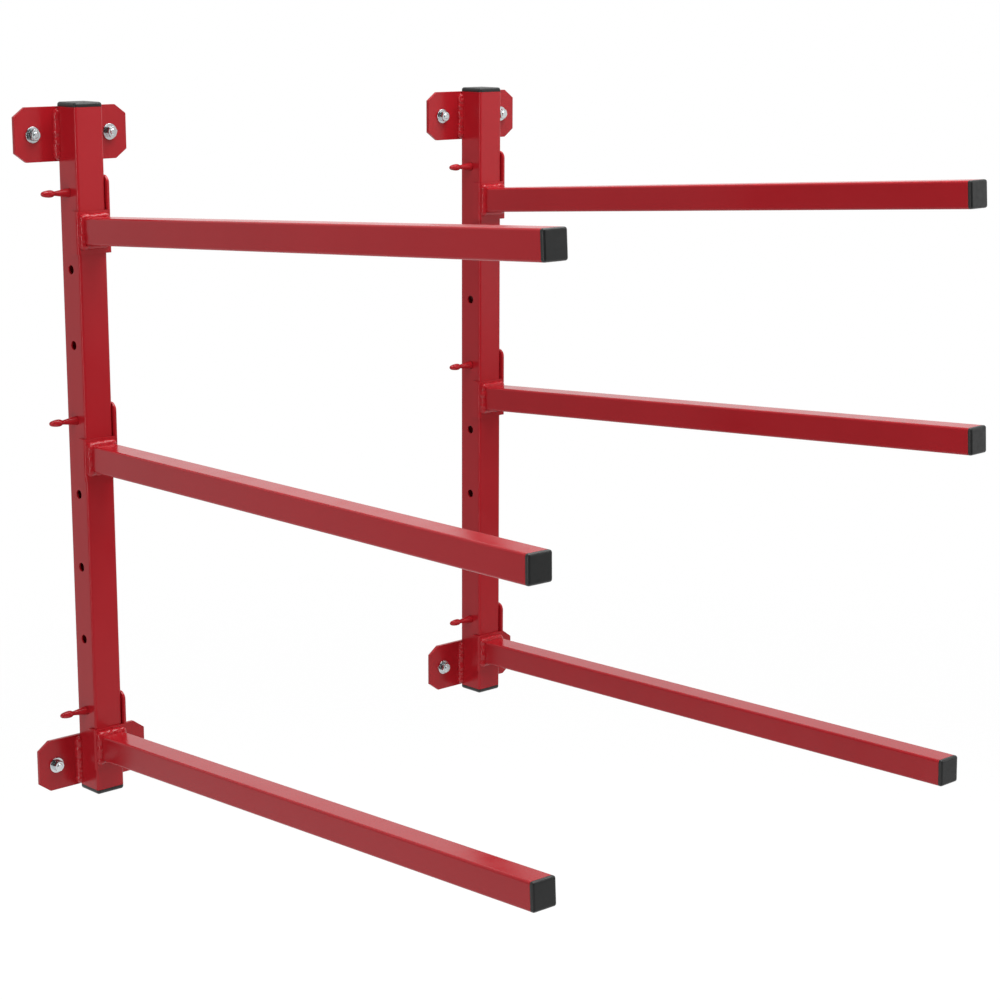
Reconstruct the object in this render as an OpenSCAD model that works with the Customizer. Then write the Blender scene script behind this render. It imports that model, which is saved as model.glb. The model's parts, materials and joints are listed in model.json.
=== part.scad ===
// Bumper rack: two wall uprights, each carrying three lift-up arms on pins.
// X runs along the wall, +Y points into the wall, Z is up.
// The origin is the centre of the outer wall fixings, on the wall's face.

/* [Pair of uprights] */
// Distance between the two uprights, centre to centre
upright_spacing = 528; // [300:1:1200]

/* [Upright] */
// Side of the square upright tube
upright_side = 32; // [28:1:40]
// Wall of the upright tube
upright_wall = 2; // [1.5:0.5:2.5]
// Outer corner radius of the upright tube
upright_corner = 2.5; // [2.5:0.5:4]
// Length of the upright tube
upright_length = 690; // [600:5:900]
// Distance from the tube's end to the nearest pin hole
end_margin = 82.5; // [78:0.5:110]
// Number of pin holes in the upright
hole_count = 8; // [7:1:9]

/* [Wall plates] */
// Width of a wall plate
plate_w = 128; // [122:1:160]
// Height of a wall plate
plate_h = 53; // [50:1:60]
// Thickness of a wall plate
plate_t = 4; // [3:0.5:6]
// Width of a wall plate's clipped corner
plate_clip_w = 12.5; // [8:0.5:16]
// Height of a wall plate's clipped corner
plate_clip_h = 9; // [6:0.5:14]
// Leg of the bead that joins a wall plate to the tube
plate_weld_leg = 5.5; // [4:0.5:6]
// Bare length left at each end of that bead
plate_weld_margin = 2.5; // [1:0.5:6]

/* [Wall fixings] */
// Distance between the two fixings of one plate
fixing_spacing = 88; // [80:1:94]
// Diameter of a wall stud where it sits in the wall
stud_d = 8; // [7.2:0.1:8]
// Diameter of a stud's threaded end, taken at the thread's pitch line
thread_d = 5.4; // [4.8:0.1:6]
// Length of stud behind the wall plate
stud_depth = 16; // [12:1:80]
// Length of stud that stands out of its nut
stud_proud = 0.8; // [0.4:0.2:4]
// Diametral room of a stud in its plate hole
stud_hole_room = 1; // [0.5:0.25:1.5]
// Outer diameter of a washer
washer_d = 16; // [15:0.5:20]
// Thickness of a washer
washer_t = 1.6; // [1:0.1:2.5]
// Diametral room of a stud's thread in its washer
washer_room = 1; // [0.6:0.1:1.4]
// Width of a nut across its flats
nut_flats = 10; // [9:0.5:13]
// Height of a nut
nut_h = 5; // [4:0.5:8]
// Diametral room of a stud's thread in its nut
nut_room = 0.1; // [0.05:0.05:0.3]

/* [Arms] */
// Side of the square arm tube
arm_side = 26.5; // [20:0.5:28]
// Wall of the arm tube
arm_wall = 2; // [1.5:0.5:2]
// Outer corner radius of the arm tube
arm_corner = 2.5; // [2.5:0.5:3.5]
// Length of the arm tube from the saddle's face to its free end
arm_length = 650; // [300:5:750]
// Number of pin holes from the top down to the middle arm's own; the others use the end holes
middle_arm_hole_count = 4; // [3:1:5]
// Slope above level of the left upright's arms, in degrees, from the top down
left_rise_angles = [3.5, 0.9, 3];
// Slope above level of the right upright's arms, in degrees, from the top down
right_rise_angles = [4.2, 3.4, 1.3];
// How far the left upright's arms point to the right, in degrees, from the top down
left_swing_angles = [-0.7, -2, -1.3];
// How far the right upright's arms point to the right, in degrees, from the top down
right_swing_angles = [1, 2.5, 0.3];
// Leg of the bead round an arm's root
arm_weld_leg = 5; // [3:0.5:6]

/* [Saddles] */
// Thickness of the saddle plate
saddle_wall = 2.5; // [2:0.5:4]
// Distance from the pin's centre down to the saddle's top edge
saddle_drop = 17; // [12:0.5:20]
// Height of the saddle's face above the arm
face_above_arm = 6.5; // [6.5:0.5:10]
// Height of the saddle's face below the arm
face_below_arm = 9; // [7:0.5:12]
// How far the saddle's flanges lap the upright's sides
flange_lap = 9; // [6:0.5:12]
// Outer radius of the saddle's bend
saddle_bend = 3; // [2:0.5:4]
// Height of the ear above the pin's centre
ear_above_pin = 16.5; // [15:0.5:17]
// Depth of the ear behind the pin's centre
ear_behind_pin = 14; // [12:0.5:14]
// Radius of the ear's top corners
ear_corner = 8; // [6:0.5:12]
// Room between each flange and the upright's side
side_room = 0.5; // [0.3:0.1:1.5]
// Room between the saddle's face and the upright
seat_room = 0.3; // [0.2:0.1:0.5]

/* [Pins] */
// Diameter of a pin
pin_d = 8.8; // [7:0.1:9]
// Radial running clearance of a pin in the upright's holes
pin_clearance = 0.1; // [0.02:0.01:0.1]
// Length of pin beyond the upright's left side
pin_reach = 31; // [28:0.5:40]
// Full-diameter length before the nose tapers
pin_land = 1.5; // [1:0.5:4]
// Diameter of the nose's neck
neck_d = 4.4; // [3:0.1:5]
// Diameter of the bulb on the nose
bulb_d = 7.5; // [6:0.1:8.8]
// Diameter of the bulb's rounded tip
bulb_tip_d = 5; // [4:0.1:5.8]
// Length of the bulb on the nose
bulb_l = 14.5; // [12:0.5:16]
// Length of pin that stands out of the ear
pin_stub = 1.5; // [1:0.5:3]
// Leg of the bead round the pin's stub
pin_weld_leg = 1.5; // [1:0.5:2]

/* [Caps] */
// Height of the head of an upright's cap
upright_cap_head = 4.5; // [4.5:0.5:8]
// Rounding of that head's corners and upper edges
upright_cap_round = 3; // [3:0.5:4]
// Height of the head of an arm's cap
arm_cap_head = 4; // [4:0.5:6]
// Rounding of that head's corners and upper edges
arm_cap_round = 2.5; // [2:0.5:3.5]
// Length of a cap's plug inside its tube
plug_l = 16; // [12:1:25]
// Wall of a cap's hollow plug
plug_wall = 1.5; // [1:0.25:2]
// Number of grip ribs round a plug
rib_count = 3; // [2:1:4]
// Thickness of a grip rib
rib_t = 1; // [0.8:0.1:1.5]
// Height of a grip rib above the plug
rib_h = 1.2; // [0.8:0.1:1.5]
// Room between a grip rib and the tube's inside
rib_room = 0.1; // [0.05:0.05:0.2]

/* [Hidden] */

// Sides and ends of the rack, and the arms' places from the top down
LEFT = -1;
RIGHT = 1;
UPPER = 1;
LOWER = -1;
TOP = 0;
MIDDLE = 1;
BOTTOM = 2;

// Fineness of round bores and pins, of tube corners and of rounded edges
bore_fn = 48;
corner_fn = 32;
edge_fn = 24;
// Least inner corner radius of a tube
least_inner_corner = 0.5;
// Overshoot of a cut past the face that it opens
cut = 1;

red = [0.66, 0.11, 0.13];
dark_red = [0.55, 0.08, 0.1];
zinc = [0.78, 0.8, 0.82];
black = [0.12, 0.12, 0.13];

upright_y = -plate_t - upright_side / 2;
hole_pitch = (upright_length - 2 * end_margin) / (hole_count - 1);
hole_d = pin_d + 2 * pin_clearance;
arm_holes = [1, middle_arm_hole_count, hole_count];
plate_z = (upright_length - plate_h) / 2;

// Half widths of the saddle inside and outside, its front face's distance and its depth
saddle_in = upright_side / 2 + side_room;
saddle_out = saddle_in + saddle_wall;
saddle_front = upright_side / 2 + seat_room + saddle_wall;
saddle_depth = saddle_wall + seat_room + flange_lap;
saddle_height = face_above_arm + arm_side + face_below_arm;
arm_drop = saddle_drop + face_above_arm + arm_side / 2;

function hole_z(number) = upright_length / 2 - end_margin - (number - 1) * hole_pitch;
function rise(side, level) = (side == LEFT ? left_rise_angles : right_rise_angles)[level];
function swing(side, level) = (side == LEFT ? left_swing_angles : right_swing_angles)[level];

// Square outline with round corners
module round_square(side, radius) {
    square([side - 2 * radius, side], center = true);
    square([side, side - 2 * radius], center = true);
    for (x = [-1, 1], y = [-1, 1])
        translate([x, y] * (side / 2 - radius))
            circle(r = radius, $fn = corner_fn);
}

// Outline of a square tube with round corners inside and out
module tube_outline(side, wall, radius) {
    difference() {
        round_square(side, radius);
        round_square(side - 2 * wall, max(radius - wall, least_inner_corner));
    }
}

// Places a piece on an upright, on the tube's centre line at mid height
module on_upright(side) {
    translate([side * upright_spacing / 2, upright_y, 0])
        children();
}

// Places a piece at the four fixings of an upright, on the wall's face
module at_fixings(side) {
    for (end = [UPPER, LOWER], hand = [-1, 1])
        translate([side * upright_spacing / 2 + hand * fixing_spacing / 2, 0, end * plate_z])
            rotate([90, 0, 0])
                children();
}

// Places a piece of an arm with its origin at the middle of the arm's pin
module at_pin(side, level) {
    on_upright(side)
        translate([0, 0, hole_z(arm_holes[level])])
            children();
}

// Places a piece along an arm: its root on the saddle's face is the origin, +Z runs out
module along_arm(side, level) {
    at_pin(side, level)
        translate([0, -saddle_front, -arm_drop])
            rotate([-rise(side, level), 0, swing(side, level)])
                rotate([90, 0, 0])
                    children();
}

// All that lies behind the saddle's front face at the arm's root
module behind_saddle_face(side, level) {
    at_pin(side, level)
        translate([-arm_side, -saddle_front, -arm_drop - arm_side])
            cube(2 * arm_side);
}

module upright(side) {
    color(red)
        on_upright(side)
            difference() {
                translate([0, 0, -upright_length / 2])
                    linear_extrude(upright_length)
                        tube_outline(upright_side, upright_wall, upright_corner);
                for (number = [1:hole_count])
                    translate([0, 0, hole_z(number)])
                        rotate([0, 90, 0])
                            cylinder(d = hole_d, h = upright_side + 2 * cut, center = true,
                                $fn = bore_fn);
            }
}

module wall_plate(side, end) {
    half_w = plate_w / 2;
    half_h = plate_h / 2;
    color(red)
        translate([side * upright_spacing / 2, 0, end * plate_z])
            rotate([90, 0, 0])
                linear_extrude(plate_t)
                    difference() {
                        polygon([
                            [-half_w, -half_h + plate_clip_h], [-half_w + plate_clip_w, -half_h],
                            [half_w - plate_clip_w, -half_h], [half_w, -half_h + plate_clip_h],
                            [half_w, half_h - plate_clip_h], [half_w - plate_clip_w, half_h],
                            [-half_w + plate_clip_w, half_h], [-half_w, half_h - plate_clip_h]
                        ]);
                        for (hand = [-1, 1])
                            translate([hand * fixing_spacing / 2, 0])
                                circle(d = stud_d + stud_hole_room, $fn = bore_fn);
                    }
}

// Quarter-round beads in the corners between the tube's sides and the wall plates
module plate_welds(side) {
    bead_l = plate_h - 2 * plate_weld_margin;
    color(dark_red)
        for (end = [UPPER, LOWER], hand = [-1, 1])
            on_upright(side)
                translate([hand * upright_side / 2, upright_side / 2, end * plate_z - bead_l / 2])
                    difference() {
                        cylinder(r = plate_weld_leg, h = bead_l, $fn = bore_fn);
                        translate([-plate_weld_leg - cut, 0, -cut])
                            cube([2 * plate_weld_leg + 2 * cut, plate_weld_leg + cut,
                                bead_l + 2 * cut]);
                        translate([-hand * upright_side / 2, -upright_side / 2, -cut])
                            linear_extrude(bead_l + 2 * cut)
                                round_square(upright_side, upright_corner);
                    }
}

// Head of a cap, flat below, with its corners and upper edges rounded alike
module cap_head(side, radius, head) {
    edge = side / 2 - radius;
    intersection() {
        union() {
            linear_extrude(head - radius)
                round_square(side, radius);
            translate([-edge, -edge, 0])
                cube([2 * edge, 2 * edge, head]);
            for (turn = [0:90:270])
                rotate(turn)
                    translate([edge, edge, head - radius]) {
                        sphere(r = radius, $fn = edge_fn);
                        rotate([90, 0, 0])
                            cylinder(r = radius, h = 2 * edge, $fn = edge_fn);
                    }
        }
        translate([-side, -side, 0])
            cube([2 * side, 2 * side, 2 * head]);
    }
}

// Cap with a hollow plug below its head, held in the tube by grip ribs
module insert_cap(side, wall, corner, head, rounding) {
    inside = side - 2 * wall;
    plug = inside - 2 * rib_room - 2 * rib_h;
    rib_step = plug_l / (rib_count + 1);
    cap_head(side, rounding, head);
    translate([0, 0, -plug_l])
        linear_extrude(plug_l)
            difference() {
                round_square(plug, corner / 2);
                square(plug - 2 * plug_wall, center = true);
            }
    for (number = [1:rib_count])
        translate([0, 0, -number * rib_step])
            linear_extrude(rib_t)
                difference() {
                    round_square(plug + 2 * rib_h, corner / 2);
                    square(plug - 2 * plug_wall, center = true);
                }
}

module upright_cap(side, end) {
    color(black)
        on_upright(side)
            translate([0, 0, end * upright_length / 2])
                rotate([end == UPPER ? 0 : 180, 0, 0])
                    insert_cap(upright_side, upright_wall, upright_corner, upright_cap_head,
                        upright_cap_round);
}

// Studs with a plain shank in the wall and a slimmer threaded end through the plate
module wall_studs(side) {
    stud_out = plate_t + washer_t + nut_h + stud_proud;
    color(zinc)
        at_fixings(side) {
            translate([0, 0, -stud_depth])
                cylinder(d = stud_d, h = stud_depth, $fn = bore_fn);
            cylinder(d = thread_d, h = stud_out, $fn = bore_fn);
        }
}

module wall_washers(side) {
    color(zinc)
        at_fixings(side)
            translate([0, 0, plate_t])
                difference() {
                    cylinder(d = washer_d, h = washer_t, $fn = bore_fn);
                    translate([0, 0, -cut])
                        cylinder(d = thread_d + washer_room, h = washer_t + 2 * cut, $fn = bore_fn);
                }
}

module wall_nuts(side) {
    color(zinc)
        at_fixings(side)
            translate([0, 0, plate_t + washer_t])
                difference() {
                    cylinder(d = nut_flats / cos(30), h = nut_h, $fn = 6);
                    translate([0, 0, -cut])
                        cylinder(d = thread_d + nut_room, h = nut_h + 2 * cut, $fn = bore_fn);
                }
}

module arm(side, level) {
    color(red)
        difference() {
            along_arm(side, level)
                translate([0, 0, -arm_side / 2])
                    linear_extrude(arm_length + arm_side / 2)
                        tube_outline(arm_side, arm_wall, arm_corner);
            behind_saddle_face(side, level);
        }
}

// Web and left flange, bent from one plate
module saddle_channel() {
    linear_extrude(saddle_height)
        difference() {
            union() {
                translate([-saddle_out + saddle_bend, -saddle_front])
                    square([2 * saddle_out - saddle_bend, saddle_depth]);
                translate([-saddle_out, -saddle_front + saddle_bend])
                    square([saddle_bend, saddle_depth - saddle_bend]);
                translate([-saddle_out + saddle_bend, -saddle_front + saddle_bend])
                    circle(r = saddle_bend, $fn = corner_fn);
            }
            translate([-saddle_in, -saddle_front + saddle_wall])
                square([2 * saddle_in, saddle_depth]);
        }
}

// Ear that rises from the right cheek, seen from the side: the pin's centre is the origin
module ear_outline() {
    straight_top = ear_above_pin - ear_corner;
    translate([-saddle_front, -saddle_drop])
        square([saddle_front + ear_behind_pin, saddle_drop + straight_top]);
    translate([-saddle_front + ear_corner, 0])
        square([saddle_front + ear_behind_pin - 2 * ear_corner, ear_above_pin]);
    for (y = [-saddle_front + ear_corner, ear_behind_pin - ear_corner])
        translate([y, straight_top])
            circle(r = ear_corner, $fn = bore_fn);
}

module saddle(side, level) {
    color(red)
        at_pin(side, level)
            difference() {
                union() {
                    translate([0, 0, -saddle_drop - saddle_height])
                        saddle_channel();
                    translate([saddle_in, 0, 0])
                        rotate([90, 0, 90])
                            linear_extrude(saddle_wall)
                                ear_outline();
                }
                translate([saddle_in - cut, 0, 0])
                    rotate([0, 90, 0])
                        cylinder(d = hole_d, h = saddle_wall + 2 * cut, $fn = bore_fn);
            }
}

// Pin with a waisted nose that ends in a bulb
module pin(side, level) {
    face = upright_side / 2;
    taper_l = pin_reach - pin_land - bulb_l;
    color(red)
        at_pin(side, level)
            rotate([0, -90, 0]) {
                translate([0, 0, -saddle_out - pin_stub])
                    cylinder(d = pin_d, h = saddle_out + pin_stub + face + pin_land, $fn = bore_fn);
                translate([0, 0, face + pin_land])
                    cylinder(d1 = pin_d, d2 = neck_d, h = taper_l, $fn = bore_fn);
                translate([0, 0, face + pin_reach - bulb_l])
                    cylinder(d = neck_d, h = bulb_d / 2, $fn = bore_fn);
                translate([0, 0, face + pin_reach - bulb_l + bulb_d / 2]) {
                    sphere(d = bulb_d, $fn = bore_fn);
                    cylinder(d1 = bulb_d, d2 = bulb_tip_d, h = bulb_l - (bulb_d + bulb_tip_d) / 2,
                        $fn = bore_fn);
                }
                translate([0, 0, face + pin_reach - bulb_tip_d / 2])
                    sphere(d = bulb_tip_d, $fn = bore_fn);
            }
}

// Bead round the arm's root and bead round the pin's stub
module welds(side, level) {
    half = arm_side / 2;
    color(dark_red) {
        difference() {
            at_pin(side, level)
                translate([0, -saddle_front, -arm_drop])
                    rotate([90, 0, 0])
                        for (turn = [0:90:270])
                            rotate(turn)
                                translate([half, half, 0]) {
                                    sphere(r = arm_weld_leg, $fn = edge_fn);
                                    rotate([90, 0, 0])
                                        cylinder(r = arm_weld_leg, h = arm_side, $fn = edge_fn);
                                }
            along_arm(side, level)
                translate([0, 0, -half])
                    linear_extrude(arm_side + arm_weld_leg)
                        round_square(arm_side, arm_corner);
            behind_saddle_face(side, level);
        }
        at_pin(side, level)
            translate([saddle_out, 0, 0])
                rotate([0, 90, 0])
                    rotate_extrude($fn = bore_fn)
                        intersection() {
                            translate([pin_d / 2, 0])
                                circle(r = pin_weld_leg, $fn = edge_fn);
                            translate([pin_d / 2, 0])
                                square(pin_weld_leg);
                        }
    }
}

module end_cap(side, level) {
    color(black)
        along_arm(side, level)
            translate([0, 0, arm_length])
                insert_cap(arm_side, arm_wall, arm_corner, arm_cap_head, arm_cap_round);
}

upright(LEFT);  // left_upright
wall_plate(LEFT, UPPER);  // left_top_plate
wall_plate(LEFT, LOWER);  // left_bottom_plate
plate_welds(LEFT);  // left_plate_welds
upright_cap(LEFT, UPPER);  // left_top_cap
upright_cap(LEFT, LOWER);  // left_bottom_cap
wall_studs(LEFT);  // left_wall_studs
wall_nuts(LEFT);  // left_wall_nuts
wall_washers(LEFT);  // left_wall_washers
upright(RIGHT);  // right_upright
wall_plate(RIGHT, UPPER);  // right_top_plate
wall_plate(RIGHT, LOWER);  // right_bottom_plate
plate_welds(RIGHT);  // right_plate_welds
upright_cap(RIGHT, UPPER);  // right_top_cap
upright_cap(RIGHT, LOWER);  // right_bottom_cap
wall_studs(RIGHT);  // right_wall_studs
wall_nuts(RIGHT);  // right_wall_nuts
wall_washers(RIGHT);  // right_wall_washers
arm(LEFT, TOP);  // left_top_arm
saddle(LEFT, TOP);  // left_top_saddle
pin(LEFT, TOP);  // left_top_pin
welds(LEFT, TOP);  // left_top_welds
end_cap(LEFT, TOP);  // left_top_end_cap
arm(LEFT, MIDDLE);  // left_middle_arm
saddle(LEFT, MIDDLE);  // left_middle_saddle
pin(LEFT, MIDDLE);  // left_middle_pin
welds(LEFT, MIDDLE);  // left_middle_welds
end_cap(LEFT, MIDDLE);  // left_middle_end_cap
arm(LEFT, BOTTOM);  // left_bottom_arm
saddle(LEFT, BOTTOM);  // left_bottom_saddle
pin(LEFT, BOTTOM);  // left_bottom_pin
welds(LEFT, BOTTOM);  // left_bottom_welds
end_cap(LEFT, BOTTOM);  // left_bottom_end_cap
arm(RIGHT, TOP);  // right_top_arm
saddle(RIGHT, TOP);  // right_top_saddle
pin(RIGHT, TOP);  // right_top_pin
welds(RIGHT, TOP);  // right_top_welds
end_cap(RIGHT, TOP);  // right_top_end_cap
arm(RIGHT, MIDDLE);  // right_middle_arm
saddle(RIGHT, MIDDLE);  // right_middle_saddle
pin(RIGHT, MIDDLE);  // right_middle_pin
welds(RIGHT, MIDDLE);  // right_middle_welds
end_cap(RIGHT, MIDDLE);  // right_middle_end_cap
arm(RIGHT, BOTTOM);  // right_bottom_arm
saddle(RIGHT, BOTTOM);  // right_bottom_saddle
pin(RIGHT, BOTTOM);  // right_bottom_pin
welds(RIGHT, BOTTOM);  // right_bottom_welds
end_cap(RIGHT, BOTTOM);  // right_bottom_end_cap
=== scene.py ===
import json
from math import cos, pi, radians
import random

import bmesh
import bpy
from mathutils import Euler, Matrix, Vector

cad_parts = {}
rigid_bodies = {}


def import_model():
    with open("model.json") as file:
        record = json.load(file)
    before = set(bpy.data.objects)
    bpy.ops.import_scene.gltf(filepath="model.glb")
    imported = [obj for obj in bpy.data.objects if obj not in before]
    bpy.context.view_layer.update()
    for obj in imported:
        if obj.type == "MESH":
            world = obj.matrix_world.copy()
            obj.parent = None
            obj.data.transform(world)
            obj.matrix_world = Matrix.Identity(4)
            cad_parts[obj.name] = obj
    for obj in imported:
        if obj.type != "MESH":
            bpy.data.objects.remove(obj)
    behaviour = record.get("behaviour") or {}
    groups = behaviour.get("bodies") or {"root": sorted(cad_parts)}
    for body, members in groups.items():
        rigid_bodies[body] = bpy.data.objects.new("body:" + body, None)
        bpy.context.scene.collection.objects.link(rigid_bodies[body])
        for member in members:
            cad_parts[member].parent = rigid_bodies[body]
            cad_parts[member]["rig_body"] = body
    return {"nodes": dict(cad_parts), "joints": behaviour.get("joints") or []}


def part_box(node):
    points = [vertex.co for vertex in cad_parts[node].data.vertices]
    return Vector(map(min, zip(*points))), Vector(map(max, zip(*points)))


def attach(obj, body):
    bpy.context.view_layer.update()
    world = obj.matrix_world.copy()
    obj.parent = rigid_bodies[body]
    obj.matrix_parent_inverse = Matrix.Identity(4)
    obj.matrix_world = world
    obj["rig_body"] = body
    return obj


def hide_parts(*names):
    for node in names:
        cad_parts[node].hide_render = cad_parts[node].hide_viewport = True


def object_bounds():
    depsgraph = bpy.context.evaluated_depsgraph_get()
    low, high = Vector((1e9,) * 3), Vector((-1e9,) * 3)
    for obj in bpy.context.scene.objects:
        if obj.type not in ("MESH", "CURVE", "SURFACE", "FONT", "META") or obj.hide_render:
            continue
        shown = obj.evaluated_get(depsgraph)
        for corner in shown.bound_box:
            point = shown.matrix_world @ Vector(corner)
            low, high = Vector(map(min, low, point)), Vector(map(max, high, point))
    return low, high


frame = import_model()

MM = 0.001
solid_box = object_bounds()

# Camera. The rack is seen from its left and from a little above, through a long lens.
# The place and turn are those that lay the rack's corners over the photograph's.
eye = Vector((-1.548, -1.9985, 0.461))
azimuth = radians(-42.97)
look_down = radians(12.27)
camera_roll = radians(0.19)
lens_mm = 85.2
view_depth = 50

bpy.ops.object.camera_add()
camera = bpy.context.object
camera.data.lens = lens_mm
camera.data.clip_end = view_depth
camera.matrix_world = (
    Matrix.Translation(eye)
    @ Euler((pi / 2 - look_down, 0, azimuth)).to_matrix().to_4x4()
    @ Matrix.Rotation(camera_roll, 4, "Z")
)
bpy.context.scene.camera = camera


# Uprights. Each is a square steel tube with eight pin holes right through its sides, sawn to length,
# deburred and dipped in gloss red enamel, which rounds every edge and pools a little on the flats.
red_deep = (0.40, 0.010, 0.016, 1)
red_bright = (0.47, 0.014, 0.022, 1)
enamel_ior = 1.37
low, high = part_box("left_upright")
upright_side = high.x - low.x
upright_length = high.z - low.z
upright_wall = 2 * MM
upright_corner = 2.5 * MM
hole_count = 8
hole_margin = 82.5 * MM
hole_r = 4.5 * MM
sawn_edge = 0.3 * MM

# How fine bores and round corners are, from what angle an edge is sharp, up to what angle it is
# shaded smooth, and the least cosine between two directions that count as one
bore_sides = 48
corner_segments = 6
sharp_from = radians(32)
smooth_up_to = radians(40)
aligned = 0.99


def choose(piece):
    """Makes a piece the only one selected, and the active one."""
    bpy.ops.object.select_all(action="DESELECT")
    piece.select_set(True)
    bpy.context.view_layer.objects.active = piece


def open_up(piece):
    """Takes a piece into edit mode."""
    choose(piece)
    bpy.ops.object.mode_set(mode="EDIT")


def close_up():
    """Goes back to object mode."""
    bpy.ops.object.mode_set(mode="OBJECT")


def pick(kind, wanted):
    """In edit mode, selects only those edges or faces that pass a test."""
    bpy.ops.mesh.select_mode(type={"edges": "EDGE", "faces": "FACE"}[kind])
    bpy.ops.mesh.select_all(action="DESELECT")
    mesh = bpy.context.edit_object.data
    shape = bmesh.from_edit_mesh(mesh)
    shape.normal_update()
    for element in getattr(shape, kind):
        if wanted(element):
            element.select_set(True)
    bmesh.update_edit_mesh(mesh)


def along(axis):
    """A test for edges that run along an axis, 0 for X, 1 for Y and 2 for Z."""
    def runs(edge):
        way = edge.verts[1].co - edge.verts[0].co
        return abs(way[axis]) > aligned * way.length
    return runs


def facing(way):
    """A test for faces whose normal points one way."""
    return lambda face: face.normal.dot(Vector(way)) > aligned


def apply_modifier(piece, kind, **settings):
    """Adds a modifier to a piece, sets it and applies it."""
    choose(piece)
    modifier = piece.modifiers.new(kind, kind)
    for name, value in settings.items():
        setattr(modifier, name, value)
    bpy.ops.object.modifier_apply(modifier=modifier.name)


def block(name, size, middle=(0, 0, 0)):
    """A box to start a piece from, of a given size about a given middle."""
    bpy.ops.mesh.primitive_cube_add(size=1)
    piece = bpy.context.object
    piece.name = name
    open_up(piece)
    bpy.ops.mesh.select_all(action="SELECT")
    bpy.ops.transform.resize(value=size)
    bpy.ops.transform.translate(value=middle)
    close_up()
    return piece


def join(pieces):
    """Joins pieces into the first of them."""
    choose(pieces[0])
    for piece in pieces:
        piece.select_set(True)
    if len(pieces) > 1:
        bpy.ops.object.join()
    return pieces[0]


def combine(piece, tool, operation):
    """Cuts a piece with a tool or keeps what the two share, and throws the tool away."""
    apply_modifier(piece, "BOOLEAN", operation=operation, object=tool, solver="EXACT")
    bpy.data.objects.remove(tool)


def drill(piece, radius, depth, spots, turn=(0, 0, 0)):
    """Drills holes of one radius through a piece, along Z or turned from it."""
    drills = []
    for spot in spots:
        bpy.ops.mesh.primitive_cylinder_add(
            vertices=bore_sides, radius=radius, depth=depth, location=spot, rotation=turn
        )
        drills.append(bpy.context.object)
    tool = join(drills)
    bpy.ops.object.transform_apply()
    combine(piece, tool, "DIFFERENCE")


def soften(piece, width, segments=2):
    """Rounds a piece's sharp edges and shades it so that its flats stay flat."""
    apply_modifier(
        piece, "BEVEL", width=width, segments=segments, limit_method="ANGLE",
        angle_limit=sharp_from
    )
    choose(piece)
    bpy.ops.object.shade_smooth_by_angle(angle=smooth_up_to)
    apply_modifier(piece, "WEIGHTED_NORMAL", keep_sharp=True)


def square_tube(name, side, wall, corner, length):
    """A square tube along Z with round corners, its middle at the origin."""
    tube = block(name, (side, side, length))
    open_up(tube)
    pick("edges", along(2))
    bpy.ops.mesh.bevel(offset=corner, segments=corner_segments, affect="EDGES")
    pick("faces", lambda face: abs(face.normal.z) > aligned)
    bpy.ops.mesh.delete(type="FACE")
    close_up()
    apply_modifier(tube, "SOLIDIFY", thickness=wall, offset=-1, use_even_offset=True)
    return tube


def set_out(master, name, places):
    """Copies a piece to every place, each copy with its own mesh, and joins the copies."""
    copies = []
    for place in places:
        twin = master.copy()
        twin.data = master.data.copy()
        bpy.context.collection.objects.link(twin)
        twin.data.transform(place)
        copies.append(twin)
    piece = join(copies)
    piece.name = name
    return piece


def fit(piece, node, finish):
    """Puts a finished piece in the place of its solid, on the solid's body."""
    piece.data.materials.clear()
    piece.data.materials.append(finish)
    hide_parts(node)
    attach(piece, frame["nodes"][node]["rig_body"])


def add_node(tree, kind, inputs=(), **settings):
    """Adds a shader node; an input given as a socket is linked, and any other is set."""
    made = tree.nodes.new("ShaderNode" + kind)
    for name, value in settings.items():
        setattr(made, name, value)
    for name, value in dict(inputs).items():
        if isinstance(value, bpy.types.NodeSocket):
            tree.links.new(value, made.inputs[name])
        else:
            made.inputs[name].default_value = value
    return made


def mix_colour(tree, share, first, second):
    """The colour that lies a share of the way from the first to the second."""
    mixed = add_node(tree, "Mix", data_type="RGBA")
    for index, value in ((0, share), (6, first), (7, second)):
        if isinstance(value, bpy.types.NodeSocket):
            tree.links.new(value, mixed.inputs[index])
        else:
            mixed.inputs[index].default_value = value
    return mixed.outputs[2]


# A patch of gloss against a drift of tone, and the range that most of a cloudy pattern stays in
patch_share = 0.2
cloud_low = 0.3
cloud_high = 0.7


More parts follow.
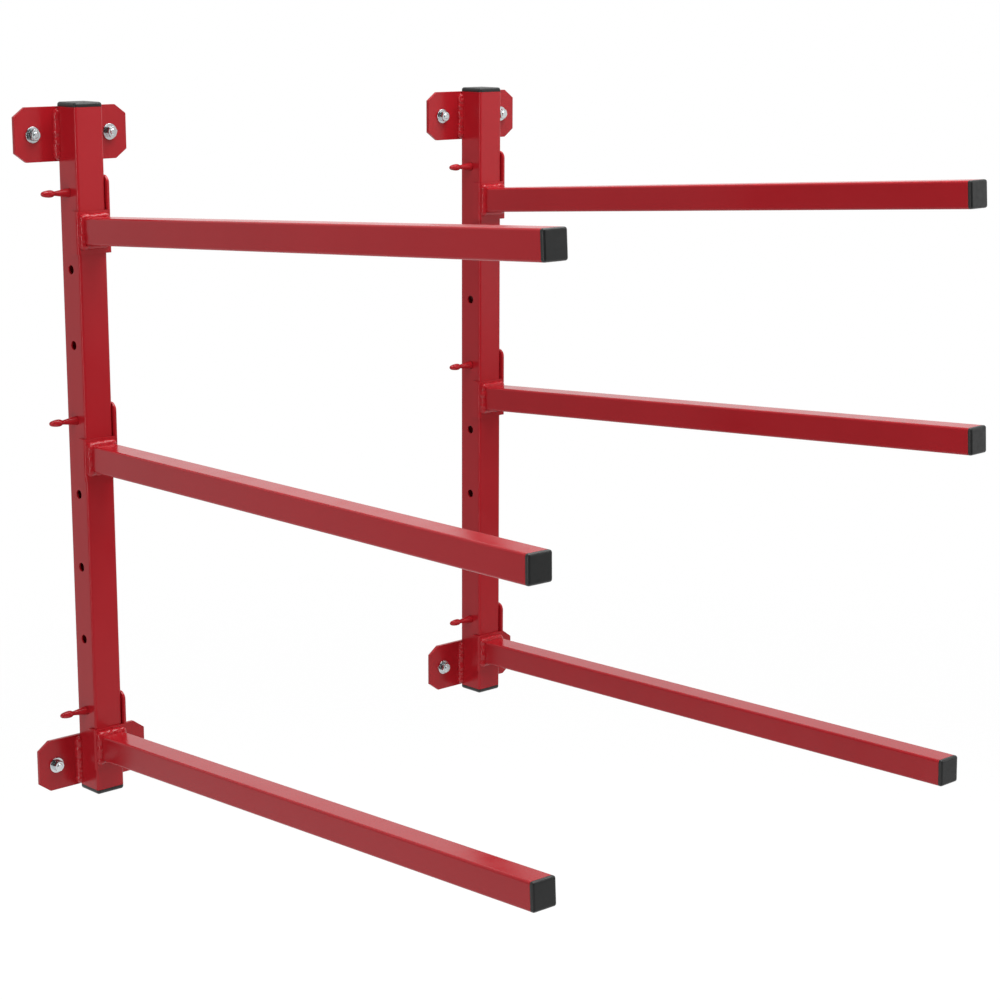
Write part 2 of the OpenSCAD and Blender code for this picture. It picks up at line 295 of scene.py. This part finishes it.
def skin_group():
    """What any coated or moulded surface shows: slow drifts of tone and gloss, and a fine ripple."""
    group = bpy.data.node_groups.new("surface skin", "ShaderNodeTree")
    for name in ("Drift size", "Ripple size", "Gloss low", "Gloss high"):
        group.interface.new_socket(name, in_out="INPUT", socket_type="NodeSocketFloat")
    for name in ("Tone", "Roughness", "Ripple"):
        group.interface.new_socket(name, in_out="OUTPUT", socket_type="NodeSocketFloat")
    given = group.nodes.new("NodeGroupInput").outputs
    place = add_node(group, "TexCoord").outputs["Object"]

    def cloud(size, detail):
        """A cloudy pattern of a given grain."""
        scale = add_node(group, "Math", {0: 1.0, 1: size}, operation="DIVIDE").outputs[0]
        noise = add_node(group, "TexNoise", {"Vector": place, "Scale": scale, "Detail": detail})
        return noise.outputs["Fac"]

    tone = cloud(given["Drift size"], detail=3.0)
    patch = add_node(
        group, "Math", {0: given["Drift size"], 1: patch_share}, operation="MULTIPLY"
    ).outputs[0]
    gloss = add_node(
        group, "MapRange",
        {"Value": cloud(patch, detail=5.0), "From Min": cloud_low, "From Max": cloud_high,
         "To Min": given["Gloss low"], "To Max": given["Gloss high"]},
    )
    leaving = group.nodes.new("NodeGroupOutput").inputs
    group.links.new(tone, leaving["Tone"])
    group.links.new(gloss.outputs[0], leaving["Roughness"])
    group.links.new(cloud(given["Ripple size"], detail=2.0), leaving["Ripple"])
    return group


surface_skin = skin_group()


def coated(name, first, second, values, ripple_depth, **constants):
    """A material whose tone, gloss and ripple come from the surface skin."""
    material = bpy.data.materials.new(name)
    material.use_nodes = True
    tree = material.node_tree
    tree.nodes.clear()
    skin = add_node(tree, "Group", node_tree=surface_skin)
    for socket, value in values.items():
        skin.inputs[socket].default_value = value
    bump = add_node(
        tree, "Bump", {"Height": skin.outputs["Ripple"], "Distance": ripple_depth, "Strength": 1.0}
    )
    shader = add_node(
        tree, "BsdfPrincipled",
        {"Base Color": mix_colour(tree, skin.outputs["Tone"], first, second),
         "Roughness": skin.outputs["Roughness"], "Normal": bump.outputs[0]},
    )
    for socket, value in constants.items():
        shader.inputs[socket.replace("_", " ")].default_value = value
    end = add_node(tree, "OutputMaterial")
    tree.links.new(shader.outputs[0], end.inputs["Surface"])
    return material


red_enamel = coated(
    "red enamel", red_deep, red_bright,
    {"Drift size": 0.12, "Ripple size": 2.2 * MM, "Gloss low": 0.17, "Gloss high": 0.25},
    ripple_depth=0.012 * MM, IOR=enamel_ior,
)

SIDES = ("left", "right")
upright_middle = {}
for side in SIDES:
    low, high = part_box(side + "_upright")
    upright_middle[side] = (low + high) / 2

hole_pitch = (upright_length - 2 * hole_margin) / (hole_count - 1)
hole_spots = [
    (0, 0, upright_length / 2 - hole_margin - number * hole_pitch) for number in range(hole_count)
]
tube = square_tube("tube", upright_side, upright_wall, upright_corner, upright_length)
drill(tube, hole_r, 2 * upright_side, hole_spots, turn=(0, pi / 2, 0))
soften(tube, sawn_edge)
for side in SIDES:
    upright = set_out(tube, side + "_upright_tube", [Matrix.Translation(upright_middle[side])])
    fit(upright, side + "_upright", red_enamel)
bpy.data.objects.remove(tube)


# Wall plates. Four flats of 4 mm steel with clipped corners, sheared and drilled, and welded behind
# the tubes' ends. The enamel rounds their edges a little.
low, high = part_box("left_top_plate")
plate_size = high - low
clip_wide = 12.5 * MM
clip_high = 9 * MM
fixing_reach = 44 * MM
plate_hole_r = 4.5 * MM
sheared_edge = 0.45 * MM


def slice_off(piece, point, way):
    """Cuts off what lies beyond a plane on the side that the plane's normal points to."""
    open_up(piece)
    bpy.ops.mesh.select_all(action="SELECT")
    bpy.ops.mesh.bisect(plane_co=point, plane_no=way, use_fill=True, clear_outer=True)
    close_up()


flat = block("flat", plate_size)
half_wide, half_high = plate_size.x / 2, plate_size.z / 2
for across in (-1, 1):
    for way in (-1, 1):
        slice_off(
            flat, (across * half_wide, 0, way * (half_high - clip_high)),
            (across * clip_high, 0, way * clip_wide)
        )
drill(
    flat, plate_hole_r, 3 * plate_size.y, [(hand * fixing_reach, 0, 0) for hand in (-1, 1)],
    turn=(pi / 2, 0, 0)
)
soften(flat, sheared_edge)
plate_middle = {}
for side in SIDES:
    for end in ("top", "bottom"):
        node = f"{side}_{end}_plate"
        low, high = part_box(node)
        plate_middle[side, end] = (low + high) / 2
        plate = set_out(flat, f"{side}_{end}_flat", [Matrix.Translation(plate_middle[side, end])])
        fit(plate, node, red_enamel)
bpy.data.objects.remove(flat)


# Plate welds. Hand-laid beads run down the corners between each tube and its plates. Each is a row of
# puddles that froze one over the next, so it is lumpy, and the enamel flows over it in one skin.
plate_bead_leg = 5.5 * MM
plate_bead_margin = 2.5 * MM
plate_puddle_step = 2.4 * MM
sunk_in_steel = 0.3 * MM
bead_grain = 0.45 * MM
bead_flow = 10
bead_smooth_up_to = radians(50)
# A puddle's least size and most stray, and how far the last one reaches past the line, are shares
# of the bead's radius. The strength is that of one smoothing pass, and a bead's flow is their number.
least_swell = 0.84
stray_share = 0.08
puddle_fineness = 3
pass_strength = 0.5
end_share = 0.7

weld_enamel = coated(
    "red enamel over weld", red_deep, red_bright,
    {"Drift size": 0.03, "Ripple size": 2.6 * MM, "Gloss low": 0.14, "Gloss high": 0.22},
    ripple_depth=0.02 * MM, IOR=enamel_ior,
)


def lay_puddles(name, spots, radius, luck, flow):
    """A lumpy bead of round puddles along a line of spots, fused and then smoothed by its flow."""
    bpy.ops.mesh.primitive_ico_sphere_add(
        subdivisions=puddle_fineness, radius=radius, location=spots[0]
    )
    bead = bpy.context.object
    bead.name = name
    bpy.ops.object.transform_apply()
    open_up(bead)
    for spot in spots:
        swell = luck.uniform(least_swell, 1.0)
        stray = Vector([luck.uniform(-stray_share, stray_share) * radius for _ in range(3)])
        bpy.ops.mesh.primitive_ico_sphere_add(
            subdivisions=puddle_fineness, radius=swell * radius, location=Vector(spot) + stray
        )
    close_up()
    apply_modifier(bead, "REMESH", mode="VOXEL", voxel_size=bead_grain)
    apply_modifier(bead, "SMOOTH", factor=pass_strength, iterations=flow)
    return bead


for side in SIDES:
    beads = []
    for end in ("top", "bottom"):
        for hand in (-1, 1):
            luck = random.Random(f"{side} {end} {hand}")
            middle = plate_middle[side, end]
            corner_x = middle.x + hand * upright_side / 2
            face_y = middle.y - plate_size.y / 2
            reach = plate_size.z / 2 - plate_bead_margin - plate_bead_leg * end_share
            count = round(2 * reach / plate_puddle_step)
            spots = [
                (corner_x, face_y, middle.z - reach + 2 * reach * step / count)
                for step in range(count + 1)
            ]
            bead = lay_puddles("bead", spots, plate_bead_leg, luck, bead_flow)
            slice_off(bead, (corner_x - hand * sunk_in_steel, 0, 0), (-hand, 0, 0))
            slice_off(bead, (0, face_y + sunk_in_steel, 0), (0, 1, 0))
            beads.append(bead)
    welds = join(beads)
    welds.name = side + "_plate_beads"
    bpy.ops.object.shade_smooth_by_angle(angle=bead_smooth_up_to)
    fit(welds, side + "_plate_welds", weld_enamel)


# Caps of the uprights. Moulded black plastic plugs with a domed head that lies on the sawn end, and
# a hollow shank with grip ribs that is pushed down the tube.
upright_cap_head = 4.49 * MM
upright_cap_crown = 2.8 * MM
cap_lip = 0.35 * MM
lip_segments = 2
# The crown's rounding stops just short of its full size, and what lies this low in a head is its base
crown_share = 0.97
base_share = 0.01
shank_length = 16 * MM
shank_wall = 1.5 * MM
rib_count = 3
rib_thick = 1 * MM
rib_height = 1.2 * MM
rib_room = 0.1 * MM
cap_black = (0.010, 0.011, 0.011, 1)
cap_grey = (0.018, 0.019, 0.019, 1)

black_plastic = coated(
    "black plastic", cap_black, cap_grey,
    {"Drift size": 0.02, "Ripple size": 0.5 * MM, "Gloss low": 0.36, "Gloss high": 0.5},
    ripple_depth=0.02 * MM, IOR=1.46,
)


def extrude(depth, spread=1.0):
    """Pushes the selected face out along Z and then widens or narrows it."""
    bpy.ops.mesh.extrude_region_move(TRANSFORM_OT_translate={"value": (0, 0, depth)})
    if spread != 1.0:
        bpy.ops.transform.resize(value=(spread, spread, 1))


def insert_cap(name, side, wall, head, crown):
    """A cap with its head on the XY plane and its shank below."""
    cap = block(name, (side, side, head), (0, 0, head / 2))
    rib_side = side - 2 * wall - 2 * rib_room
    shank_side = rib_side - 2 * rib_height
    open_up(cap)
    pick("edges", lambda edge: max(vert.co.z for vert in edge.verts) > base_share * head)
    bpy.ops.mesh.bevel(offset=crown_share * crown, segments=corner_segments, affect="EDGES")
    pick("edges", lambda edge: max(vert.co.z for vert in edge.verts) < base_share * head)
    bpy.ops.mesh.bevel(offset=cap_lip, segments=lip_segments, affect="EDGES")
    pick("faces", facing((0, 0, -1)))
    extrude(0, shank_side / (side - 2 * cap_lip))
    rib_step = shank_length / (rib_count + 1)
    widen = rib_side / shank_side
    for _ in range(rib_count):
        extrude(rib_thick - rib_step)
        extrude(0, widen)
        extrude(-rib_thick)
        extrude(0, 1 / widen)
    extrude(-rib_step)
    extrude(0, 1 - 2 * shank_wall / shank_side)
    extrude(shank_length - shank_wall)
    close_up()
    bpy.ops.object.shade_smooth_by_angle(angle=smooth_up_to)
    apply_modifier(cap, "WEIGHTED_NORMAL", keep_sharp=True)
    return cap


cap = insert_cap("cap", upright_side, upright_wall, upright_cap_head, upright_cap_crown)
for side in SIDES:
    for end, way in (("top", 1), ("bottom", -1)):
        place = Matrix.Translation(
            upright_middle[side] + Vector((0, 0, way * upright_length / 2))
        ) @ Matrix.Rotation(0 if way == 1 else pi, 4, "X")
        plug = set_out(cap, f"{side}_{end}_plug", [place])
        fit(plug, f"{side}_{end}_cap", black_plastic)
bpy.data.objects.remove(cap)


# Wall fixings. Bright zinc-plated anchors of 8 mm stand in the wall. The M6 stud of each comes out
# through a plate, a flat washer and a hex nut with chamfered corners, and just shows beyond the nut.
anchor_r = 4 * MM
anchor_depth = 16 * MM
stud_r = 2.95 * MM
thread_pitch = 1 * MM
thread_depth = 0.5 * MM
thread_smooth_up_to = radians(30)
turns_in_sight = 3
stud_chamfer = 0.6 * MM
stud_proud = 0.8 * MM
washer_r = 8 * MM
washer_thick = 1.6 * MM
washer_hole_r = 3.2 * MM
washer_edge = 0.5 * MM
washer_edge_segments = 3
nut_flats = 10 * MM
nut_corner_r = nut_flats / 2 / cos(pi / 6)
nut_high = 5 * MM
nut_hole_r = 2.75 * MM
nut_chamfer = 0.6 * MM
nut_edge = 0.14 * MM
# The chamfered end of a nut as a share of its flats, and how far each nut happens to be turned
nut_end_share = 0.95
nut_turns = {"left": (11, 40, 22, 5), "right": (35, 17, 48, 28)}
stud_out = plate_size.y + washer_thick + nut_high + stud_proud
zinc_cool = (0.58, 0.62, 0.65, 1)
zinc_warm = (0.68, 0.70, 0.70, 1)

bright_zinc = coated(
    "bright zinc", zinc_cool, zinc_warm,
    {"Drift size": 0.006, "Ripple size": 1.5 * MM, "Gloss low": 0.14, "Gloss high": 0.2},
    ripple_depth=0.0006 * MM, Metallic=1.0,
)


def cylinder(name, radius, depth, base, sides=32):
    """A cylinder along Z that stands on a given height."""
    bpy.ops.mesh.primitive_cylinder_add(
        vertices=sides, radius=radius, depth=depth, location=(0, 0, base + depth / 2)
    )
    piece = bpy.context.object
    piece.name = name
    bpy.ops.object.transform_apply()
    return piece


washer = cylinder("washer", washer_r, washer_thick, plate_size.y, sides=bore_sides)
drill(washer, washer_hole_r, 4 * nut_high, [(0, 0, 0)])
soften(washer, washer_edge, segments=washer_edge_segments)

nut_base = plate_size.y + washer_thick
nut = cylinder("nut", nut_corner_r, nut_high, nut_base, sides=6)
turned = cylinder(
    "turned", nut_corner_r, nut_high - 2 * nut_chamfer, nut_base + nut_chamfer, sides=bore_sides
)
open_up(turned)
for way in (1, -1):
    pick("faces", facing((0, 0, way)))
    extrude(way * nut_chamfer, nut_end_share * cos(pi / 6))
close_up()
combine(nut, turned, "INTERSECT")
drill(nut, nut_hole_r, 6 * nut_high, [(0, 0, 0)])
soften(nut, nut_edge)

stud = cylinder("stud", anchor_r, anchor_depth - stud_chamfer, stud_chamfer - anchor_depth)
open_up(stud)
pick("faces", facing((0, 0, -1)))
extrude(-stud_chamfer, 1 - stud_chamfer / anchor_r)
pick("faces", facing((0, 0, 1)))
extrude(0, stud_r / anchor_r)
extrude(stud_out - stud_chamfer - turns_in_sight * thread_pitch)
groove = 1 - thread_depth / stud_r
for _ in range(turns_in_sight):
    extrude(thread_pitch / 2, groove)
    extrude(thread_pitch / 2, 1 / groove)
extrude(stud_chamfer, 1 - stud_chamfer / stud_r)
close_up()
bpy.ops.object.shade_smooth_by_angle(angle=thread_smooth_up_to)

for side in SIDES:
    fixings = [
        Matrix.Translation(
            (plate_middle[side, end].x + hand * fixing_reach, 0, plate_middle[side, end].z)
        ) @ Matrix.Rotation(pi / 2, 4, "X")
        for end in ("top", "bottom")
        for hand in (-1, 1)
    ]
    nut_places = [
        place @ Matrix.Rotation(radians(angle), 4, "Z")
        for place, angle in zip(fixings, nut_turns[side])
    ]
    for master, word, places in (
        (stud, "studs", fixings), (washer, "washers", fixings), (nut, "nuts", nut_places)
    ):
        fixing = set_out(master, f"{side}_{word}", places)
        fit(fixing, f"{side}_wall_{word}", bright_zinc)
for master in (stud, washer, nut):
    bpy.data.objects.remove(master)


# Arms. Six square steel tubes, sawn square, each butted on its saddle's face a few degrees off square,
# as the fixture let it lie, and enamelled with the saddle in one go.
LEVELS = ("top", "middle", "bottom")
arm_side = 26.5 * MM
arm_wall = 2 * MM
arm_corner = 2.5 * MM
arm_length = 650 * MM
saddle_front = 18.8 * MM
arm_drop = 36.75 * MM
# Each arm's slope above level, and how far it points to the right, in degrees
arm_lies = {
    ("left", "top"): (3.5, -0.7), ("left", "middle"): (0.9, -2.0), ("left", "bottom"): (3.0, -1.3),
    ("right", "top"): (4.2, 1.0), ("right", "middle"): (3.4, 2.5), ("right", "bottom"): (1.3, 0.3),
}
pin_place = {
    joint["child"].replace("_lift", ""): Matrix.Translation(Vector(joint["pos_m"]))
    for joint in frame["joints"]
}
root_place = Matrix.Translation((0, -saddle_front, -arm_drop))


def arm_place(side, level):
    """From a place along an arm, with its root at the origin and +Z running out, to the rack."""
    rise, swing = arm_lies[side, level]
    lie = Matrix.Rotation(radians(swing), 4, "Z") @ Matrix.Rotation(radians(90 - rise), 4, "X")
    return pin_place[f"{side}_{level}"] @ root_place @ lie


tube = square_tube("tube", arm_side, arm_wall, arm_corner, arm_length + arm_side / 2)
tube.data.transform(Matrix.Translation((0, 0, (arm_length - arm_side / 2) / 2)))
for side in SIDES:
    for level in LEVELS:
        arm = set_out(tube, f"{side}_{level}_arm_tube", [arm_place(side, level)])
        root = (pin_place[f"{side}_{level}"] @ root_place).translation
        behind = block("behind", (2 * arm_side,) * 3, root + Vector((0, arm_side, 0)))
        combine(arm, behind, "DIFFERENCE")
        soften(arm, sawn_edge)
        fit(arm, f"{side}_{level}_arm", red_enamel)
bpy.data.objects.remove(tube)


# Saddles. Each is 2.5 mm plate: a face with a flange bent back along the upright's left side, and on the
# right a cheek that rises into a round-cornered ear for the pin. The edges are dressed before painting.
saddle_wall = 2.5 * MM
saddle_in = 16.5 * MM
saddle_out = saddle_in + saddle_wall
saddle_top = -17 * MM
saddle_bottom = -59 * MM
flange_end = -7 * MM
ear_top = 16.5 * MM
ear_back = 14 * MM
ear_corner = 8 * MM
pin_hole_r = 4.5 * MM
dressed_edge = 1 * MM
bend_r = 0.7 * saddle_wall
bend_segments = 5
ear_segments = 12

bent_height = saddle_top - saddle_bottom
bpy.ops.mesh.primitive_plane_add(size=1, rotation=(pi / 2, 0, 0))
bent = bpy.context.object
bent.name = "bent"
bpy.ops.object.transform_apply()
open_up(bent)
web_wide = saddle_in + saddle_out - saddle_wall / 2
bpy.ops.mesh.select_all(action="SELECT")
bpy.ops.transform.resize(value=(web_wide, 1, bent_height))
bpy.ops.transform.translate(value=(
    saddle_in - web_wide / 2, saddle_wall / 2 - saddle_front, (saddle_top + saddle_bottom) / 2
))
pick("edges", lambda edge: max(vert.co.x for vert in edge.verts) < 0)
bpy.ops.mesh.extrude_region_move(
    TRANSFORM_OT_translate={"value": (0, flange_end + saddle_front - saddle_wall / 2, 0)}
)
pick("edges", lambda edge: along(2)(edge) and max(vert.co.x for vert in edge.verts) < 0
     and max(vert.co.y for vert in edge.verts) < saddle_wall - saddle_front)
bpy.ops.mesh.bevel(offset=bend_r, segments=bend_segments, affect="EDGES")
close_up()
apply_modifier(bent, "SOLIDIFY", thickness=saddle_wall, offset=0, use_even_offset=True)

cheek = block(
    "cheek", (saddle_wall, ear_back + saddle_front, ear_top - saddle_top),
    ((saddle_in + saddle_out) / 2, (ear_back - saddle_front) / 2, (ear_top + saddle_top) / 2)
)
open_up(cheek)
bpy.ops.mesh.select_all(action="SELECT")
bpy.ops.mesh.bisect(plane_co=(0, flange_end, 0), plane_no=(0, 1, 0))
pick("faces", lambda face: face.normal.z < -aligned and face.calc_center_median().y < flange_end)
bpy.ops.mesh.extrude_region_move(
    TRANSFORM_OT_translate={"value": (0, 0, saddle_bottom - saddle_top)}
)
pick("edges", lambda edge: along(0)(edge) and edge.verts[0].co.z > ear_top - saddle_wall / 2
     and abs(edge.verts[0].co.y - flange_end) > saddle_wall)
bpy.ops.mesh.bevel(offset=ear_corner, segments=ear_segments, affect="EDGES")
close_up()
drill(cheek, pin_hole_r, 4 * saddle_out, [(0, 0, 0)], turn=(0, pi / 2, 0))
bent = join([bent, cheek])
soften(bent, dressed_edge)
for side in SIDES:
    for level in LEVELS:
        saddle = set_out(bent, f"{side}_{level}_bracket", [pin_place[f"{side}_{level}"]])
        fit(saddle, f"{side}_{level}_saddle", red_enamel)
bpy.data.objects.remove(bent)


# Pins. Turned steel, full size through the ear and the upright, then a long taper to a slim neck and
# a bulb that guides the pin into its hole. Each ring is a distance from the middle and a radius, in mm.
pin_sides = 24
pin_smooth_up_to = radians(60)
pin_rings = (
    (-20.5, 3.9), (-20.2, 4.35), (-19.7, 4.4), (0.0, 4.4), (16.6, 4.4), (17.7, 4.4), (18.5, 4.3),
    (23.0, 3.6), (28.0, 2.8), (31.0, 2.36), (32.2, 2.25), (32.9, 2.45), (33.7, 3.05), (35.0, 3.55),
    (36.5, 3.75), (38.5, 3.73), (41.0, 3.45), (43.5, 3.0), (45.4, 2.45), (46.5, 1.7), (47.0, 0.7),
)
bpy.ops.mesh.primitive_circle_add(
    vertices=pin_sides, radius=pin_rings[0][1] * MM, fill_type="NGON",
    location=(0, 0, pin_rings[0][0] * MM)
)
turned = bpy.context.object
bpy.ops.object.transform_apply()
open_up(turned)
bpy.ops.mesh.select_all(action="SELECT")
for (here, radius), (there, next_radius) in zip(pin_rings, pin_rings[1:]):
    extrude((there - here) * MM, next_radius / radius)
bpy.ops.mesh.select_all(action="SELECT")
bpy.ops.mesh.normals_make_consistent(inside=False)
close_up()
apply_modifier(turned, "SUBSURF", levels=1)
bpy.ops.object.shade_smooth_by_angle(angle=pin_smooth_up_to)
for side in SIDES:
    for level in LEVELS:
        place = pin_place[f"{side}_{level}"] @ Matrix.Rotation(-pi / 2, 4, "Y")
        pin = set_out(turned, f"{side}_{level}_turned_pin", [place])
        fit(pin, f"{side}_{level}_pin", red_enamel)
bpy.data.objects.remove(turned)


# Arm welds. A lumpy bead runs right round each arm's root, and a small one rings the pin's stub
# outside the ear.
root_bead_leg = 5 * MM
root_puddle_step = 2.6 * MM
root_flow = 45
stub_bead_leg = 1.5 * MM
stub_puddle_step = 1.3 * MM
stub_sides = 8
pin_r = 4.4 * MM


def ring_of_spots(outline, step):
    """Evenly spaced spots along a closed outline of points."""
    spots = []
    for here, there in zip(outline, outline[1:] + outline[:1]):
        count = max(1, round((there - here).length / step))
        spots += [here.lerp(there, number / count) for number in range(count)]
    return spots


for side in SIDES:
    for level in LEVELS:
        arm = f"{side}_{level}"
        luck = random.Random(arm)
        inner = arm_side / 2 - sunk_in_steel
        square = [Vector((x * inner, 0, z * inner)) for x, z in ((-1, -1), (-1, 1), (1, 1), (1, -1))]
        ring = ring_of_spots(square, root_puddle_step)
        bead = lay_puddles("bead", ring, root_bead_leg, luck, root_flow)
        slice_off(bead, (0, sunk_in_steel, 0), (0, 1, 0))
        core = block("core", (2 * inner, 4 * arm_side, 2 * inner))
        combine(bead, core, "DIFFERENCE")
        bead.data.transform(root_place)
        hoop = [
            Matrix.Rotation(turn * 2 * pi / stub_sides, 3, "X") @ Vector((saddle_out, pin_r, 0))
            for turn in range(stub_sides)
        ]
        ring = ring_of_spots(hoop, stub_puddle_step)
        stub_bead = lay_puddles("stub bead", ring, stub_bead_leg, luck, bead_flow)
        slice_off(stub_bead, (saddle_out - sunk_in_steel, 0, 0), (-1, 0, 0))
        beads = join([bead, stub_bead])
        beads.data.transform(pin_place[arm])
        beads.name = arm + "_beads"
        bpy.ops.object.shade_smooth_by_angle(angle=bead_smooth_up_to)
        fit(beads, arm + "_welds", weld_enamel)


# Caps of the arms. The same moulded plugs in the smaller size, pushed into the arms' free ends until
# their heads lie on the sawn tubes.
arm_cap_head = 3.99 * MM
arm_cap_crown = 2.5 * MM

cap = insert_cap("cap", arm_side, arm_wall, arm_cap_head, arm_cap_crown)
for side in SIDES:
    for level in LEVELS:
        place = arm_place(side, level) @ Matrix.Translation((0, 0, arm_length))
        plug = set_out(cap, f"{side}_{level}_end_plug", [place])
        fit(plug, f"{side}_{level}_end_cap", black_plastic)
bpy.data.objects.remove(cap)


# Studio. The rack hangs above a pale floor that fades into a white surround. Two softboxes light it
# from above, a tall one from the left and a weak one from the right, and the room itself is brighter
# at the right.
floor_drop = 0.95
floor_radius = 5.0
floor_fade = 2.2
floor_sides = 96
floor_lit = (0.8, 0.8, 0.8, 1)
floor_faint = (0.22, 0.22, 0.22, 1)
floor_glow = 0.9
room_bright_side = (0.83, -0.56, 0)
room_ramp = (-1.0, 1.0)
room_dim = 0.085
room_bright = 0.52
mirror_bright_side = (0.6, 0.8, 0)
mirror_ramp = (-0.45, 0.6)
mirror_dim = 0.05
mirror_bright = 0.9
white = (1, 1, 1, 1)
rack_middle = (solid_box[0] + solid_box[1]) / 2


def softbox(name, width, height, place, power):
    """An area lamp at a place that faces the middle of the rack."""
    bpy.ops.object.light_add(type="AREA", location=place)
    lamp = bpy.context.object
    lamp.name = name
    lamp.data.shape = "RECTANGLE"
    lamp.data.size = width
    lamp.data.size_y = height
    lamp.data.energy = power
    lamp.rotation_euler = (rack_middle - Vector(place)).to_track_quat("-Z", "Y").to_euler()


softbox("overhead", width=1.6, height=1.2, place=(0.6, -0.4, 1.9), power=30)
softbox("leaning", width=1.4, height=1.0, place=(-0.3, -0.95, 1.75), power=16)
softbox("standing", width=0.7, height=2.4, place=(-3.0, -0.9, 0.3), power=29)
softbox("right", width=1.6, height=1.6, place=(1.6, -1.9, 0.5), power=6)


def looked_at(tree):
    """One for rays from the camera, and for mirrored and seen-through ones."""
    path = add_node(tree, "LightPath").outputs
    rays = add_node(
        tree, "Math", {0: path["Is Camera Ray"], 1: path["Is Glossy Ray"]}, operation="MAXIMUM"
    )
    return add_node(
        tree, "Math", {0: rays.outputs[0], 1: path["Is Transmission Ray"]}, operation="MAXIMUM"
    ).outputs[0]


bpy.ops.mesh.primitive_circle_add(
    vertices=floor_sides, radius=floor_radius, fill_type="NGON",
    location=(rack_middle.x, rack_middle.y, solid_box[0].z - floor_drop)
)
floor = bpy.context.object
floor.name = "floor"
material = bpy.data.materials.new("pale floor")
material.use_nodes = True
tree = material.node_tree
tree.nodes.clear()
seen = looked_at(tree)
matt = add_node(tree, "BsdfDiffuse", {"Color": floor_lit})
faint = add_node(tree, "BsdfDiffuse", {"Color": floor_faint})
glow = add_node(tree, "Emission", {"Color": white, "Strength": floor_glow})
lifted = add_node(tree, "AddShader", {0: faint.outputs[0], 1: glow.outputs[0]})
surface = add_node(tree, "MixShader", {0: seen, 1: matt.outputs[0], 2: lifted.outputs[0]})
place = add_node(tree, "TexCoord").outputs["Object"]
distance = add_node(tree, "VectorMath", {0: place}, operation="LENGTH").outputs["Value"]
fade = add_node(
    tree, "MapRange",
    {"Value": distance, "From Min": floor_fade, "From Max": floor_radius, "To Min": 0.0, "To Max": 1.0},
    interpolation_type="SMOOTHSTEP",
)
clear = add_node(tree, "BsdfTransparent")
blend = add_node(tree, "MixShader", {0: fade.outputs[0], 1: surface.outputs[0], 2: clear.outputs[0]})
end = add_node(tree, "OutputMaterial")
tree.links.new(blend.outputs[0], end.inputs["Surface"])
floor.data.materials.append(material)

world = bpy.data.worlds.new("surround")
bpy.context.scene.world = world
world.use_nodes = True
tree = world.node_tree
tree.nodes.clear()
way = add_node(tree, "TexCoord").outputs["Generated"]


def shade(tree, way, bright_side, ramp, dim, bright, easing):
    """A strength that rises from dim to bright towards one side, over a ramp."""
    towards = add_node(tree, "VectorMath", {0: way, 1: bright_side}, operation="DOT_PRODUCT")
    return add_node(
        tree, "MapRange",
        {"Value": towards.outputs["Value"], "From Min": ramp[0], "From Max": ramp[1], "To Min": dim,
         "To Max": bright},
        interpolation_type=easing,
    ).outputs[0]


room = shade(tree, way, room_bright_side, room_ramp, room_dim, room_bright, "LINEAR")
mirrored = shade(
    tree, way, mirror_bright_side, mirror_ramp, mirror_dim, mirror_bright, "SMOOTHSTEP"
)
path = add_node(tree, "LightPath").outputs
backdrop = add_node(
    tree, "Mix", {0: path["Is Glossy Ray"], 2: 1.0, 3: mirrored}, data_type="FLOAT"
)
strength = add_node(
    tree, "Mix", {0: looked_at(tree), 2: room, 3: backdrop.outputs[0]}, data_type="FLOAT"
)
shown = add_node(tree, "Background", {"Color": white, "Strength": strength.outputs[0]})
end = add_node(tree, "OutputWorld")
tree.links.new(shown.outputs[0], end.inputs["Surface"])

bpy.context.scene.view_settings.view_transform = "Standard"
